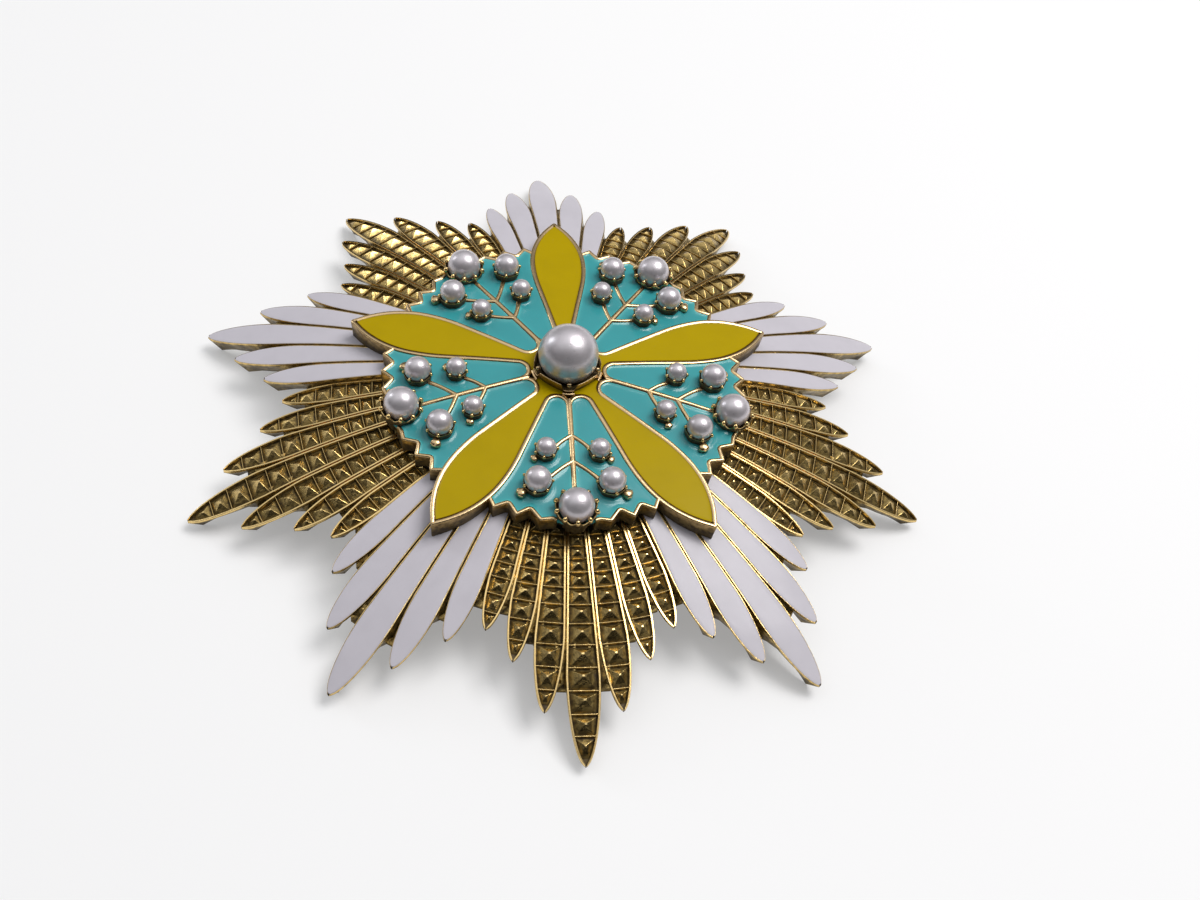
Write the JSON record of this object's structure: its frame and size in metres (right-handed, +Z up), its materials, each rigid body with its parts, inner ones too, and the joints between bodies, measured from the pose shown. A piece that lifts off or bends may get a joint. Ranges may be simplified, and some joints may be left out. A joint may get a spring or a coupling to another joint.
{
  "type": "breast star",
  "caption": "Domed gilt breast star of ten rays, five of them white enamel, with an enamelled medallion of petals and lobes set with pearls, and a pin at its hollow back.",
  "frame": {"origin": "under the centre of the star, on the surface that it lies on", "axes": "+Z up along the star's axis, out of its face; -Y along the gold ray that points to the bottom of the picture; +X to the right"},
  "size_m": [0.0858, 0.09, 0.0189],
  "materials": {
    "gold": "fire-gilt silver, faceted, with dark recesses",
    "white_enamel": "opaque white enamel, satin",
    "yellow_enamel": "opaque yellow enamel, gloss",
    "turquoise_enamel": "opaque turquoise enamel, gloss",
    "pearl": "pinkish grey pearl lustre"
  },
  "bodies": {
    "root": {"star_plate": "gold", "medallion": "gold", "brooch_pin": "gold", "pearl_centre": "pearl", "white_enamel_1": "white_enamel", "yellow_enamel_1": "yellow_enamel", "lobe_cups_1": "gold", "pearl_large_1": "pearl", "white_enamel_2": "white_enamel", "yellow_enamel_2": "yellow_enamel", "lobe_cups_2": "gold", "pearl_large_2": "pearl", "white_enamel_3": "white_enamel", "yellow_enamel_3": "yellow_enamel", "lobe_cups_3": "gold", "pearl_large_3": "pearl", "white_enamel_4": "white_enamel", "yellow_enamel_4": "yellow_enamel", "lobe_cups_4": "gold", "pearl_large_4": "pearl", "white_enamel_5": "white_enamel", "yellow_enamel_5": "yellow_enamel", "lobe_cups_5": "gold", "pearl_large_5": "pearl", "turquoise_enamel_1": "turquoise_enamel", "pearl_medium_1": "pearl", "pearl_small_1": "pearl", "turquoise_enamel_2": "turquoise_enamel", "pearl_medium_2": "pearl", "pearl_small_2": "pearl", "turquoise_enamel_3": "turquoise_enamel", "pearl_medium_3": "pearl", "pearl_small_3": "pearl", "turquoise_enamel_4": "turquoise_enamel", "pearl_medium_4": "pearl", "pearl_small_4": "pearl", "turquoise_enamel_5": "turquoise_enamel", "pearl_medium_5": "pearl", "pearl_small_5": "pearl", "turquoise_enamel_6": "turquoise_enamel", "pearl_medium_6": "pearl", "pearl_small_6": "pearl", "turquoise_enamel_7": "turquoise_enamel", "pearl_medium_7": "pearl", "pearl_small_7": "pearl", "turquoise_enamel_8": "turquoise_enamel", "pearl_medium_8": "pearl", "pearl_small_8": "pearl", "turquoise_enamel_9": "turquoise_enamel", "pearl_medium_9": "pearl", "pearl_small_9": "pearl", "turquoise_enamel_10": "turquoise_enamel", "pearl_medium_10": "pearl", "pearl_small_10": "pearl"}
  },
  "joints": []
}
